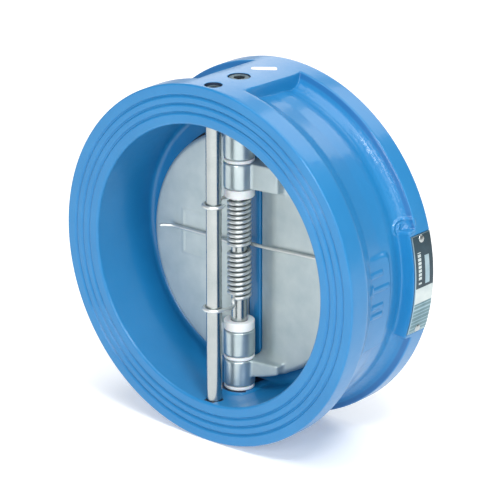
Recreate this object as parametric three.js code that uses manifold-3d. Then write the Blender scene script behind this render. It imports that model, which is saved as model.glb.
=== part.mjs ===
// Dual-plate wafer check valve, DN150, PN16 pattern, face to face 76 mm.
// Millimetres. The flow axis is Y, from the inlet face (+Y) to the outlet face (-Y).
// +Z is up along the hinge pin, and the origin is on the flow axis, midway between the faces.
import * as THREE from "three";
import { mergeVertices } from "three/addons/utils/BufferGeometryUtils.js";
import Module from "manifold-3d";

const wasm = await Module();
wasm.setup();

// Driving dimensions: casting
const FACE_Y = 38;
const RIM_R = 109;
const RIM_BACK_Y = -24;
const WAIST_R = 100;
const BACK_RIM_R = 107.7;
const BACK_RIM_FRONT_Y = 25.4;
// The waist as [radius, y], from the front rim's slope past a shallow hollow to the back rim's fillet.
const WAIST_OUTLINE = [[102, -12], [100.4, 9], [99.4, 15], [99.4, 18], [101.3, 22.5], [102.6, 24.3]];
const EDGE = 0.8;
const BORE_R = 85;
const SEAT_R = 68.5;
const SEAT_Y = 10;
const INLET_R = 73;
const FLARE_Y = 18;
const GROOVE_RADII = [92, 97, 102];
const GROOVE_HALF = 1;
const GROOVE_DEPTH = 1;
const POST_HALF = 9.5;
const POST_BACK_Y = 30;
const POST_TAPER = { x: 2.5, y: 4, noseHalf: 3 };
const RIDGE_HALF = 4.4;
const RIDGE_Y = 5.6;
const PIN_PAD_HALF = 18;
const PIN_PAD_INNER_R = 94;
const BOSS_R = 10.6;
const PORT_OVERLAP = 3;

// Driving dimensions: trim, which hangs a little below the bore's centre
const TRIM_Z = -2.6;
const HINGE_Y = -8;
const HINGE_R = 4.75;
const STOP_Y = -30.5;
const STOP_R = 4.6;
const GAP = 0.3;
const LUG_R = 9.45;
const BEARING_R = 9.1;
const PLATE_R = 74;
const PLATE_T = 7.4;
const PLATE_CHAMFER = 2.6;
const PLATE_EDGE_X = 5;
const PLATE_BEVEL_X = 19;
const PLATE_NOSE_T = 1;
// An arm's outline in X and Y: out of the lug, down to the plate's front and back to the pin.
const ARM_OUTLINE = [
  [0, -8.6],
  [LUG_R, -8.6],
  [27.3, -5.8],
  [27.3, 3],
  [PLATE_BEVEL_X, 3],
  [6.5, 6.5],
  [PLATE_EDGE_X, 4.6],
  [0, 1.2],
];
const ARM_MARGIN = 0.5;

// Hinge stack, heights from the middle of the trim
const SPRING_BEARING = [38.7, 44];
const INNER_LUG = [44.3, 60];
const PLATE_BEARING = [60.3, 62.3];
const OUTER_LUG = [62.6, 78.6];
const BODY_BEARING = [78.9, 80.9];
const STACK_END = 81.2;

// Retainers at both ends of each pin: a seal disc under a socket screw plug
const SEAT_DEPTH_Z = 97;
const SEAL_T = 1.5;
const PIN_END_Z = 96.5;
const PIN_HOLE_GAP = 0.4;
const PLUG_HOLE_GAP = 0.35;
const HINGE_PLUG = { r: 6.3, socket: 6, topZ: 107.9 };
const STOP_PLUG = { r: 4.9, socket: 5, topZ: 107.4 };
const SOCKET_DEPTH = 4.5;

// Torsion springs: a leg against each plate, coils round the hinge pin and a hook round the stop pin.
// The legs and tails are points on the wire's centre line, and the heights are above the origin.
const WIRE_R = 1.1;
const COIL_R = 6.15;
const HOOK_R = 6;
const LEG_Y = -WIRE_R - GAP;
const COIL_START_DEG = 90;
const UPPER_SPRING = {
  leg: [[53, LEG_Y, 7.9], [30, LEG_Y, 6.4], [12, LEG_Y - 0.2, 5.2]],
  turns: 10.25,
  startZ: 5.2,
  endZ: 34.5,
  tail: [[-6.1, -17, 35.1], [-6, -25, 35.8]],
  hook: { from: 180, to: 390, z: 36.2 },
};
const LOWER_SPRING = {
  leg: [
    [-63, -6, 1.9],
    [-57, LEG_Y - 0.4, 1.9],
    [-50, LEG_Y, 1.9],
    [-30, LEG_Y, 2.3],
    [-12, LEG_Y - 0.2, 1.9],
  ],
  turns: -9.472,
  startZ: 1.9,
  endZ: -26.3,
  tail: [[0.9, -14.6, -27.7], [1.6, -15, -29.6], [2.8, -17.6, -30.3], [4.8, -24, -29.1]],
  hook: { from: 0, to: -210, z: -27.5 },
};

// Nameplate, a curved strip near 3 o'clock on the back rim, with angles in degrees above +X
const PAD = { from: -20, to: 16.5, frontY: 19.5 };
const PANEL = { from: -21, to: 12, frontY: -18, backY: 5.5, r: 102.4 };
const STRIP = { from: -18.2, to: 14.5, frontY: 20.6, backY: 37.4, floorR: 107.2, r: 107.5, t: 0.5 };
const RIVETS = { upper: 13, lower: -16.8 };
const RIVET = { y: 29, holeR: 1.4, shankR: 1, shankLength: 4 };
const RIVET_HEAD = { r: 2.3, t: 0.6, crownR: 1.8, crownT: 0.4 };
const LABEL = { length: 15, width: 5.5, corner: 1.5, t: 0.25, x: 0.4, y: 13.6, z: 108.42, turn: 41 };

// Segments round a full turn, and how finely the springs' wire is stepped
const AROUND = 64;
const FINE = 32;
const COARSE = 12;
const COIL_POINTS = 12;
const HOOK_STEP_DEG = 30;
const WIRE_STEP = 3.2;
const DEG = Math.PI / 180;

// ---------------------------------------------------------------- helpers

function solid(geometry) {
  geometry.deleteAttribute("normal");
  geometry.deleteAttribute("uv");
  const merged = mergeVertices(geometry, 1e-4);
  return new wasm.Manifold(
    new wasm.Mesh({
      numProp: 3,
      vertProperties: merged.attributes.position.array,
      triVerts: new Uint32Array(merged.index.array),
    }),
  );
}

function geometryOf(made) {
  const mesh = made.getMesh();
  const geometry = new THREE.BufferGeometry();
  geometry.setAttribute("position", new THREE.BufferAttribute(mesh.vertProperties, 3));
  geometry.setIndex(new THREE.BufferAttribute(mesh.triVerts, 1));
  geometry.computeVertexNormals();
  return geometry;
}

// Turns an outline of [radius, y] points round the flow axis. It runs up the outside.
function turned(outline, closed = false, segments = AROUND) {
  const points = outline.map(([r, y]) => new THREE.Vector2(r, y));
  if (closed) points.push(points[0].clone());
  return new THREE.LatheGeometry(points, segments);
}

function outlineShape(points) {
  return new THREE.Shape(points.map(([a, b]) => new THREE.Vector2(a, b)));
}

// Extrudes a shape drawn in X and Z along the flow axis.
function alongY(shape, low, high, curveSegments = FINE) {
  return new THREE.ExtrudeGeometry(shape, { depth: high - low, bevelEnabled: false, curveSegments })
    .rotateX(Math.PI / 2)
    .translate(0, high, 0);
}

// Extrudes a shape drawn in X and Y upwards.
function alongZ(shape, low, high, curveSegments = FINE) {
  return new THREE.ExtrudeGeometry(shape, { depth: high - low, bevelEnabled: false, curveSegments })
    .translate(0, 0, low);
}

function rod(r, low, high, y, segments = FINE) {
  return new THREE.CylinderGeometry(r, r, high - low, segments)
    .rotateX(Math.PI / 2)
    .translate(0, y, (low + high) / 2);
}

function block(x0, x1, y0, y1, z0, z1) {
  return new THREE.BoxGeometry(x1 - x0, y1 - y0, z1 - z0)
    .translate((x0 + x1) / 2, (y0 + y1) / 2, (z0 + z1) / 2);
}

// A sector of a ring in X and Z, centred on the +X direction.
function ringSector(inner, outer, fromDeg, toDeg) {
  const shape = new THREE.Shape();
  shape.absarc(0, 0, outer, fromDeg * DEG, toDeg * DEG, false);
  shape.absarc(0, 0, inner, toDeg * DEG, fromDeg * DEG, true);
  shape.closePath();
  return shape;
}

function finish(color, metalness, roughness) {
  return () => new THREE.MeshStandardMaterial({ color, metalness, roughness });
}

const epoxy = finish(0x4a94d0, 0.0, 0.32);
const castSteel = finish(0xa9b9c0, 0.9, 0.45);
const turnedSteel = finish(0xcfd6d6, 1.0, 0.25);
const springSteel = finish(0xc4ccca, 1.0, 0.3);
const ptfe = finish(0xeef1f0, 0.0, 0.5);
const rubber = finish(0x1d1f22, 0.0, 0.8);
const plugSteel = finish(0x4c5358, 0.9, 0.45);
const labelMetal = finish(0x8b9799, 0.9, 0.35);
const paper = finish(0xf6f6f4, 0.0, 0.6);

const valve = new THREE.Group();
const trim = new THREE.Group();
trim.position.z = TRIM_Z;
valve.add(trim);

function piece(parent, name, geometry, material) {
  const mesh = new THREE.Mesh(geometry, material());
  mesh.name = name;
  parent.add(mesh);
  return mesh;
}

// ---------------------------------------------------------------- body

// V-grooves of a gasket face, listed in the order given, on the face at y, cut towards "into".
function grooves(radii, y, into) {
  const step = Math.sign(radii[1] - radii[0]) * GROOVE_HALF;
  return radii.flatMap((r) => [[r - step, y], [r, y + into * GROOVE_DEPTH], [r + step, y]]);
}

function bodyRing() {
  return turned([
    [BORE_R + EDGE, -FACE_Y],
    ...grooves(GROOVE_RADII, -FACE_Y, 1),
    [RIM_R - EDGE, -FACE_Y],
    [RIM_R, EDGE - FACE_Y],
    [RIM_R, RIM_BACK_Y],
    ...WAIST_OUTLINE,
    [BACK_RIM_R, BACK_RIM_FRONT_Y],
    [BACK_RIM_R, FACE_Y - EDGE],
    [BACK_RIM_R - EDGE, FACE_Y],
    ...grooves([...GROOVE_RADII].reverse(), FACE_Y, -1),
    [INLET_R, FACE_Y],
    [SEAT_R, FLARE_Y],
    [SEAT_R, SEAT_Y],
    [BORE_R, SEAT_Y],
    [BORE_R, EDGE - FACE_Y],
  ], true);
}

// The pads at 12 and 6 o'clock fill the waist, flush with both rims.
function pinPads() {
  const cone = solid(turned([
    [0, RIM_BACK_Y - 2],
    [RIM_R - 0.05, RIM_BACK_Y - 2],
    [BACK_RIM_R - 0.1, BACK_RIM_FRONT_Y + 2],
    [0, BACK_RIM_FRONT_Y + 2],
  ]));
  const inside = solid(turned([
    [0, -FACE_Y],
    [PIN_PAD_INNER_R, -FACE_Y],
    [PIN_PAD_INNER_R, FACE_Y],
    [0, FACE_Y],
  ]));
  const strip = solid(block(-PIN_PAD_HALF, PIN_PAD_HALF, -FACE_Y, FACE_Y, -RIM_R - 1, RIM_R + 1));
  return cone.intersect(strip).subtract(inside);
}

// Bosses inside the bore give the hinge stack its flat end faces.
function innerBoss(low, high) {
  const shape = new THREE.Shape();
  shape.moveTo(BOSS_R, SEAT_Y + 1);
  shape.lineTo(-BOSS_R, SEAT_Y + 1);
  shape.lineTo(-BOSS_R, HINGE_Y);
  shape.absarc(0, HINGE_Y, BOSS_R, Math.PI, 2 * Math.PI, false);
  shape.closePath();
  return solid(alongZ(shape, low, high, FINE / 2));
}

// The post across the inlet carries both plates' straight edges, with a ridge between them.
function centrePost() {
  const reach = SEAT_R + PORT_OVERLAP;
  const taperX = POST_HALF - POST_TAPER.x;
  const taperY = POST_BACK_Y - POST_TAPER.y;
  return solid(alongZ(outlineShape([
    [RIDGE_HALF, RIDGE_Y],
    [RIDGE_HALF, SEAT_Y],
    [POST_HALF, SEAT_Y],
    [POST_HALF, FLARE_Y],
    [taperX, taperY],
    [POST_TAPER.noseHalf, POST_BACK_Y],
    [-POST_TAPER.noseHalf, POST_BACK_Y],
    [-taperX, taperY],
    [-POST_HALF, FLARE_Y],
    [-POST_HALF, SEAT_Y],
    [-RIDGE_HALF, SEAT_Y],
    [-RIDGE_HALF, RIDGE_Y],
  ]), -reach, reach));
}

// A span of heights above the middle, or the same span below it.
function span([near, far], side) {
  return side > 0 ? [near, far] : [-far, -near];
}

function pinHole(y, pinR, plugR, side) {
  const hole = solid(rod(pinR + PIN_HOLE_GAP, ...span([PLATE_R, SEAT_DEPTH_Z + 1], side), y));
  const recess = solid(rod(plugR + PLUG_HOLE_GAP, ...span([SEAT_DEPTH_Z, RIM_R + 5], side), y));
  return hole.add(recess);
}

function radialCut(deg, y, r, low, high) {
  const geometry = new THREE.CylinderGeometry(r, r, high - low, COARSE)
    .rotateZ(-Math.PI / 2)
    .translate((low + high) / 2, 0, 0)
    .rotateY(-deg * DEG)
    .translate(0, y, 0);
  return solid(geometry);
}

function arcBlock(inner, outer, { from, to, frontY }, backY) {
  return solid(alongY(ringSector(inner, outer, from, to), frontY, backY, COARSE));
}

function rivetHole(deg) {
  return radialCut(deg, RIVET.y, RIVET.holeR, BACK_RIM_R - RIVET.shankLength - 1, RIM_R + 2);
}

function body() {
  const recess = {
    from: STRIP.from - GAP,
    to: STRIP.to + GAP,
    frontY: STRIP.frontY - 0.4,
  };
  let made = solid(bodyRing())
    .add(pinPads())
    .add(arcBlock(WAIST_R - 2, BACK_RIM_R - 0.1, PAD, BACK_RIM_FRONT_Y + 3))
    .add(arcBlock(WAIST_R - 3, PANEL.r, PANEL, PANEL.backY))
    .add(centrePost())
    .add(innerBoss(STACK_END + TRIM_Z, BORE_R + PORT_OVERLAP))
    .add(innerBoss(-BORE_R - PORT_OVERLAP, TRIM_Z - STACK_END))
    .subtract(arcBlock(STRIP.floorR, RIM_R + 2, recess, FACE_Y - 0.2));
  for (const side of [1, -1]) {
    made = made
      .subtract(pinHole(HINGE_Y, HINGE_R, HINGE_PLUG.r, side))
      .subtract(pinHole(STOP_Y, STOP_R, STOP_PLUG.r, side));
  }
  for (const deg of Object.values(RIVETS)) made = made.subtract(rivetHole(deg));
  return geometryOf(made);
}

piece(valve, "body", body(), epoxy);

// ---------------------------------------------------------------- seat seals

// A moulded ring under each plate, D-shaped, bonded on the seat face.
function halfRing(outer, inner, edge, width) {
  const shape = new THREE.Shape();
  const outerTurn = Math.acos(edge / outer);
  shape.absarc(0, 0, outer, -outerTurn, outerTurn, false);
  shape.closePath();
  const hole = new THREE.Path();
  const innerTurn = Math.acos((edge + width) / inner);
  hole.absarc(0, 0, inner, innerTurn, -innerTurn, true);
  hole.closePath();
  shape.holes.push(hole);
  return shape;
}

const sealShape = halfRing(SEAT_R + 5, SEAT_R + 0.5, RIDGE_HALF + 1, POST_HALF - RIDGE_HALF - 1.5);
for (const [side, turn] of [["right", 0], ["left", Math.PI]]) {
  const seal = alongY(sealShape, PLATE_T + GAP, SEAT_Y - GAP, 36);
  piece(valve, "seat_seal_" + side, seal, rubber).rotation.y = turn;
}

// ---------------------------------------------------------------- plates

// A lug round the hinge pin, on the upper (1) or lower (-1) side of the middle, with an arm that
// slopes down to the plate and ends within the plate's own outline.
function lug(range, side, disc) {
  const [low, high] = span(range, side);
  const arm = solid(alongZ(outlineShape(ARM_OUTLINE), low, high));
  return solid(rod(LUG_R, low, high, HINGE_Y)).add(arm.intersect(disc));
}

// The right-hand plate. The left-hand one is the same casting turned half round.
function checkPlate() {
  const disc = solid(turned([
    [0, 0],
    [PLATE_R - PLATE_CHAMFER, 0],
    [PLATE_R, PLATE_CHAMFER],
    [PLATE_R, PLATE_T],
    [0, PLATE_T],
  ]));
  const reach = solid(turned([
    [0, -BORE_R],
    [PLATE_R - ARM_MARGIN, -BORE_R],
    [PLATE_R - ARM_MARGIN, BORE_R],
    [0, BORE_R],
  ]));
  const cut = solid(alongZ(outlineShape([
    [-PLATE_R - 1, -1],
    [PLATE_BEVEL_X, -1],
    [PLATE_BEVEL_X, 0],
    [PLATE_EDGE_X, PLATE_T - PLATE_NOSE_T],
    [PLATE_EDGE_X, PLATE_T + 1],
    [-PLATE_R - 1, PLATE_T + 1],
  ]), -PLATE_R - 1, PLATE_R + 1));
  const hole = solid(rod(HINGE_R + PIN_HOLE_GAP, -BORE_R, BORE_R, HINGE_Y));
  return geometryOf(disc
    .subtract(cut)
    .add(lug(INNER_LUG, 1, reach))
    .add(lug(OUTER_LUG, -1, reach))
    .subtract(hole));
}

piece(trim, "plate_right", checkPlate(), castSteel);
piece(trim, "plate_left", checkPlate(), castSteel).rotation.y = Math.PI;

// ---------------------------------------------------------------- pins, bearings and retainers

piece(valve, "hinge_pin", rod(HINGE_R, -PIN_END_Z, PIN_END_Z, HINGE_Y), turnedSteel);
piece(valve, "stop_pin", rod(STOP_R, -PIN_END_Z, PIN_END_Z, STOP_Y), turnedSteel);

function washer([low, high], outer, inner) {
  return geometryOf(solid(rod(outer, low, high, 0)).subtract(solid(rod(inner, low - 1, high + 1, 0))))
    .translate(0, HINGE_Y, 0);
}

const bearings = {
  spring_bearing: SPRING_BEARING,
  plate_lug_bearing: PLATE_BEARING,
  body_lug_bearing: BODY_BEARING,
};
for (const [name, range] of Object.entries(bearings)) {
  for (const [place, side] of [["upper", 1], ["lower", -1]]) {
    piece(trim, name + "_" + place, washer(span(range, side), BEARING_R, HINGE_R + GAP), ptfe);
  }
}

function socketPlug({ r, socket, topZ }) {
  const low = SEAT_DEPTH_Z + 2 * GAP + SEAL_T;
  const hex = rod(socket / Math.sqrt(3), topZ - SOCKET_DEPTH, topZ + SOCKET_DEPTH, 0, 6);
  return geometryOf(solid(rod(r, low, topZ, 0)).subtract(solid(hex)));
}

const pins = {
  hinge_pin: { y: HINGE_Y, plug: HINGE_PLUG },
  stop_pin: { y: STOP_Y, plug: STOP_PLUG },
};
for (const [name, { y, plug }] of Object.entries(pins)) {
  for (const [place, turn] of [["top", 0], ["bottom", Math.PI]]) {
    const end = new THREE.Group();
    end.position.y = y;
    end.rotation.y = turn;
    valve.add(end);
    const sealLow = SEAT_DEPTH_Z + GAP;
    piece(end, name + "_retainer_" + place, socketPlug(plug), plugSteel);
    piece(end, name + "_seal_" + place, rod(plug.r - 0.2, sealLow, sealLow + SEAL_T, 0), rubber);
  }
}

// ---------------------------------------------------------------- springs

// Coil points round the hinge pin; positive turns run anticlockwise seen from above.
function coil({ turns, startZ, endZ }) {
  const count = Math.round(Math.abs(turns) * COIL_POINTS);
  return Array.from({ length: count + 1 }, (_, i) => {
    const turn = (COIL_START_DEG + (360 * turns * i) / count) * DEG;
    const z = startZ + ((endZ - startZ) * i) / count;
    return [COIL_R * Math.cos(turn), HINGE_Y + COIL_R * Math.sin(turn), z];
  });
}

// The hook that holds the fixed end of a spring: an open loop round the stop pin.
function hook({ from, to, z }) {
  const count = Math.round(Math.abs(to - from) / HOOK_STEP_DEG);
  return Array.from({ length: count + 1 }, (_, i) => {
    const turn = (from + ((to - from) * i) / count) * DEG;
    return [HOOK_R * Math.cos(turn), STOP_Y + HOOK_R * Math.sin(turn), z];
  });
}

function springWire(spring) {
  const points = [...spring.leg, ...coil(spring), ...spring.tail, ...hook(spring.hook)];
  const path = new THREE.CatmullRomCurve3(points.map((p) => new THREE.Vector3(...p)), false, "centripetal");
  path.arcLengthDivisions = 3000;
  const section = new THREE.Shape();
  section.absarc(0, 0, WIRE_R, 0, 2 * Math.PI, false);
  const steps = Math.round(path.getLength() / WIRE_STEP);
  const options = { steps, extrudePath: path, bevelEnabled: false, curveSegments: 3 };
  return new THREE.ExtrudeGeometry(section, options);
}

piece(valve, "spring_upper", springWire(UPPER_SPRING), springSteel);
piece(valve, "spring_lower", springWire(LOWER_SPRING), springSteel);

// ---------------------------------------------------------------- nameplate and label

function nameplate() {
  let made = arcBlock(STRIP.r, STRIP.r + STRIP.t, STRIP, STRIP.backY);
  for (const deg of Object.values(RIVETS)) made = made.subtract(rivetHole(deg));
  return geometryOf(made);
}

piece(valve, "nameplate", nameplate(), labelMetal);

// A drive rivet with a domed head, standing radially on the back rim.
function rivet() {
  const under = STRIP.r + STRIP.t + GAP;
  return turned([
    [0, under - RIVET.shankLength],
    [RIVET.shankR, under - RIVET.shankLength],
    [RIVET.shankR, under],
    [RIVET_HEAD.r, under],
    [RIVET_HEAD.crownR, under + RIVET_HEAD.crownT],
    [0, under + RIVET_HEAD.t],
  ], false, COARSE).rotateZ(-Math.PI / 2);
}

for (const [place, deg] of Object.entries(RIVETS)) {
  const mesh = piece(valve, "nameplate_rivet_" + place, rivet(), turnedSteel);
  mesh.rotation.y = -deg * DEG;
  mesh.position.y = RIVET.y;
}

// A small paper label stuck on the top pad.
function paperLabel({ length, width, corner, t }) {
  const shape = new THREE.Shape();
  const half = length / 2 - corner;
  const side = width / 2 - corner;
  shape.absarc(half, side, corner, 0, Math.PI / 2, false);
  shape.absarc(-half, side, corner, Math.PI / 2, Math.PI, false);
  shape.absarc(-half, -side, corner, Math.PI, 1.5 * Math.PI, false);
  shape.absarc(half, -side, corner, 1.5 * Math.PI, 2 * Math.PI, false);
  shape.closePath();
  return alongZ(shape, 0, t, 4);
}

const label = piece(valve, "paper_label", paperLabel(LABEL), paper);
label.position.set(LABEL.x, LABEL.y, LABEL.z);
label.rotation.z = LABEL.turn * DEG;

export default valve;
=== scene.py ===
import math

import bpy
import numpy as np
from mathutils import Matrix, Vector


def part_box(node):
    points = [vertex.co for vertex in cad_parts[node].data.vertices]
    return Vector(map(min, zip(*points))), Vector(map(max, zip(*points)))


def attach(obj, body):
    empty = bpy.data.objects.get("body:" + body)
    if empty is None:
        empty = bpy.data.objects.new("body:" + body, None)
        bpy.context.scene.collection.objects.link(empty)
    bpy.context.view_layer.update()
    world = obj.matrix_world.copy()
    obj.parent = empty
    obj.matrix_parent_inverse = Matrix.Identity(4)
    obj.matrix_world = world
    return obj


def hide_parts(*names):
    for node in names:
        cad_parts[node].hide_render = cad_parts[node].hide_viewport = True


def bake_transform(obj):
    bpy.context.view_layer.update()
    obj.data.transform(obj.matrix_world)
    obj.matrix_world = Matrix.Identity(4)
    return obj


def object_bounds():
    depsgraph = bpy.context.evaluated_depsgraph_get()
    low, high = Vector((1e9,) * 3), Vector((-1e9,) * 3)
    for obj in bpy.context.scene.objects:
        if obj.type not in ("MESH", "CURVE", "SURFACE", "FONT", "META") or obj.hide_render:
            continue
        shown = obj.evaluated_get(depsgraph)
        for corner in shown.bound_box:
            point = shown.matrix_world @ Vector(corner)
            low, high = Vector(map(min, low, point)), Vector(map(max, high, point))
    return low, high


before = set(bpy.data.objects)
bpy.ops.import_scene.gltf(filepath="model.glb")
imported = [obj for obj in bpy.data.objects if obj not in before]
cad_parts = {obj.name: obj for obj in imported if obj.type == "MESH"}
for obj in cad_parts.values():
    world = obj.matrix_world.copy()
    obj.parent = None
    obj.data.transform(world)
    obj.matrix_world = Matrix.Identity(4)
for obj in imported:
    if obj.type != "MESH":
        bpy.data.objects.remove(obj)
cad_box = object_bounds()

MM = 0.001
TAU = 2 * math.pi
DEG = math.pi / 180

# ------------------ sizes from the frame, in mm


def box_mm(node):
    low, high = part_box(node)
    return np.array(low) / MM, np.array(high) / MM


def upright_mm(node):
    """The place along Y and the radius of a round piece that stands upright."""
    low, high = box_mm(node)
    return (low[1] + high[1]) / 2, (high[0] - low[0]) / 2


GAP = 0.3
_, FACE_Y, RIM_R = box_mm("body")[1]
HINGE_Y, HINGE_R = upright_mm("hinge_pin")
STOP_Y, STOP_R = upright_mm("stop_pin")
HINGE_PLUG_R = upright_mm("hinge_pin_retainer_top")[1]
STOP_PLUG_R = upright_mm("stop_pin_retainer_top")[1]
PIN_END = box_mm("hinge_pin")[1][2]
STACK_END = box_mm("body_lug_bearing_upper")[1][2] + GAP
STACK_FOOT = box_mm("body_lug_bearing_lower")[0][2] - GAP
TRIM_Z = (box_mm("spring_bearing_upper")[1][2] + box_mm("spring_bearing_lower")[0][2]) / 2
PLATE_R, PLATE_T, _ = box_mm("plate_right")[1]
SEAL_R, SEAL_BACK_Y, _ = box_mm("seat_seal_right")[1]
SEAT_Y = SEAL_BACK_Y + GAP
SEAT_R = SEAL_R - 5

# The rest of the casting's form
BACK_RIM_R = RIM_R - 1.3
WAIST_R = RIM_R - 9
BORE_R = RIM_R - 24
INLET_R = SEAT_R + 4.5
RIM_BACK_Y = -24.0
BACK_RIM_FRONT_Y = 25.4
EDGE_R = 1.0
LIP_R = 1.6
SEAT_EDGE_R = 0.8
BORE_FILLET_R = 3.5
THROAT_Y = (15, 18)
GROOVE_RADII = (92.0, 97.0, 102.0)
GROOVE_HALF = 1.25
GROOVE_DEPTH = 1.0
POST_HALF = 9.5
RIDGE_HALF = 4.4
RIDGE_Y = 5.6
BOSS_R = 10.6
# Each pin's place along Y, its radius, its plug's radius and the depth of its hole's chamfer
DRILLED = ((HINGE_Y, HINGE_R, HINGE_PLUG_R, 0.75), (STOP_Y, STOP_R, STOP_PLUG_R, 0.3))

# Places along Y, and how far the waist's outline stands out from WAIST_R there
WAIST_RISES = (
    (-12, 2.2), (0, 0.7), (9, 0.5), (12.5, 0), (15.3, -0.7), (18, -0.7),
    (20.3, 0.1), (22.3, 1.1), (24, 2.4), (BACK_RIM_FRONT_Y - 0.6, 3.5),
)
OUTLINE_BLUR = 0.7

# What stands on the waist, with its limits in degrees round from 3 o'clock and along Y
PIN_PAD_HALF = 18.0
STRIP = {"from": -18.2, "to": 14.5, "front": 20.6, "back": FACE_Y - 0.6, "r": 107.5, "floor": 107.2}
STRIP_PAD = {"from": -20.0, "to": 16.5, "front": 19.5}
PANEL = {"from": -21.0, "to": 12.0, "front": -17.0, "back": 5.5, "rise": 2.4}
MARKS = {"y": -7.0, "arrow": 3, "bars": (-14.0, -8.0, 12.5), "half": (5.0, 1.5), "rise": 0.8}
# A curl of excess metal at the strip pad's upper front corner
CURL = {"y": 21.6, "deg": 18.1, "reach": 5.6, "stretch": 1.35}

# ------------------ mesh tools


def smoothstep(low, high, value):
    t = np.clip((value - low) / (high - low), 0.0, 1.0)
    return t * t * (3 - 2 * t)


def smooth_min(a, b, k):
    h = np.clip(0.5 + 0.5 * (b - a) / k, 0.0, 1.0)
    return b + (a - b) * h - k * h * (1 - h)


def smooth_max(a, b, k):
    return -smooth_min(-a, -b, k)


def mesh_object(name, points_mm, faces, sharp_deg=35):
    mesh = bpy.data.meshes.new(name)
    mesh.from_pydata((np.asarray(points_mm, float) * MM).tolist(), [], [list(f) for f in faces])
    mesh.validate()
    obj = bpy.data.objects.new(name, mesh)
    bpy.context.scene.collection.objects.link(obj)
    face_out(mesh)
    shade(obj, sharp_deg)
    return obj


def shade(obj, sharp_deg=35):
    mesh = obj.data
    mesh.polygons.foreach_set("use_smooth", [True] * len(mesh.polygons))
    mesh.set_sharp_from_angle(angle=math.radians(sharp_deg))
    mesh.update()


def face_out(mesh):
    mesh.calc_loop_triangles()
    corners = np.zeros(len(mesh.vertices) * 3)
    mesh.vertices.foreach_get("co", corners)
    corners = corners.reshape(-1, 3)
    triangles = np.zeros(len(mesh.loop_triangles) * 3, dtype=np.int32)
    mesh.loop_triangles.foreach_get("vertices", triangles)
    a, b, c = (corners[triangles.reshape(-1, 3)[:, i]] for i in range(3))
    if np.einsum("ij,ij->i", a, np.cross(b, c)).sum() < 0:
        mesh.flip_normals()


def move_points(obj, change):
    """Puts every vertex where change(points), in mm, says."""
    points = change(np.array([vertex.co for vertex in obj.data.vertices]) / MM)
    obj.data.vertices.foreach_set("co", (points * MM).ravel())
    obj.data.update()


def torus_grid(count, width):
    """Faces of a grid of points [row][column] that closes on itself both ways."""
    i = np.arange(count)[:, None]
    j = np.arange(width)[None, :]
    a = i * width + j
    b = ((i + 1) % count) * width + j
    c = ((i + 1) % count) * width + (j + 1) % width
    d = i * width + (j + 1) % width
    return np.stack(np.broadcast_arrays(a, b, c, d), -1).reshape(-1, 4).tolist()


def tube_grid(count, width):
    """Faces of a tube of rings, with its two ends closed by one face each."""
    i = np.arange(count - 1)[:, None]
    j = np.arange(width)[None, :]
    a = i * width + j
    b = (i + 1) * width + j
    c = (i + 1) * width + (j + 1) % width
    d = i * width + (j + 1) % width
    faces = np.stack(np.broadcast_arrays(a, b, c, d), -1).reshape(-1, 4).tolist()
    faces.append(list(range(width)))
    faces.append([(count - 1) * width + k for k in range(width)][::-1])
    return faces


def lathe(name, profile, centre, axis="z", around=64, sharp_deg=35):
    """A turned piece with flat ends. Its profile is [radius, height] points from foot to top."""
    turn = np.arange(around) * TAU / around
    rings = []
    for r, h in profile:
        ring = {
            "z": (r * np.cos(turn), r * np.sin(turn), np.full(around, float(h))),
            "x": (np.full(around, float(h)), r * np.cos(turn), r * np.sin(turn)),
        }[axis]
        rings.append(np.stack(ring, -1))
    points = np.concatenate(rings) + np.array(centre, float)
    return mesh_object(name, points, tube_grid(len(profile), around), sharp_deg)


def ring_lathe(name, section, centre, around=64, sharp_deg=35):
    """A turned ring round Z from a closed section of [radius, height] points."""
    turn = np.arange(around) * TAU / around
    r = np.array([p[0] for p in section])
    h = np.array([p[1] for p in section])
    x = np.cos(turn)[:, None] * r[None, :]
    y = np.sin(turn)[:, None] * r[None, :]
    z = np.broadcast_to(h, x.shape)
    points = np.stack([x, y, z], -1).reshape(-1, 3) + np.array(centre, float)
    return mesh_object(name, points, torus_grid(around, len(section)), sharp_deg)


def rounded_box_section(r0, r1, h0, h1, corner, steps=4):
    """The section of a washer, with round corners."""
    points = []
    for cx, cy, start in ((r1, h0, -90), (r1, h1, 0), (r0, h1, 90), (r0, h0, 180)):
        inx = cx - corner if cx == r1 else cx + corner
        iny = cy - corner if cy == h1 else cy + corner
        for k in range(steps + 1):
            turn = math.radians(start + 90 * k / steps)
            points.append([inx + corner * math.cos(turn), iny + corner * math.sin(turn)])
    return points


def boolean(obj, tool, operation):
    modifier = obj.modifiers.new("cut", "BOOLEAN")
    modifier.operation = operation
    modifier.solver = "MANIFOLD"
    modifier.object = tool
    bpy.context.view_layer.update()
    evaluated = obj.evaluated_get(bpy.context.evaluated_depsgraph_get())
    result = bpy.data.meshes.new_from_object(evaluated)
    obj.modifiers.clear()
    old = obj.data
    obj.data = result
    bpy.data.meshes.remove(old)
    bpy.data.objects.remove(tool)


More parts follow.
